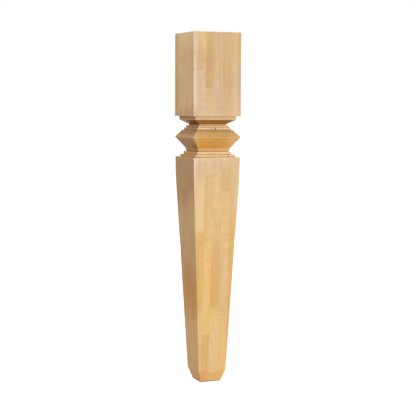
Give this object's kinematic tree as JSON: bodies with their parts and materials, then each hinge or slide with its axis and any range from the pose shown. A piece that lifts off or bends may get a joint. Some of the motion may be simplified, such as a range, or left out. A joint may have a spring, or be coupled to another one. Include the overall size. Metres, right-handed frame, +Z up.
{
  "type": "tapered wooden post",
  "caption": "Square wooden cabinet post with a plain block above, a mitred bevelled ring between stepped collars, and a long shaft tapering to a bevelled foot.",
  "frame": {"origin": "middle of the foot's underside, on the floor", "axes": "+Z up along the post to the top of the block; X and Y square to its faces, with -Y towards the viewer"},
  "size_m": [0.127, 0.127, 0.8763],
  "materials": {
    "wood": "light honey hardwood, edge-glued from staves, sanded, with a clear satin finish"
  },
  "bodies": {
    "root": {"post": "wood"}
  },
  "joints": []
}
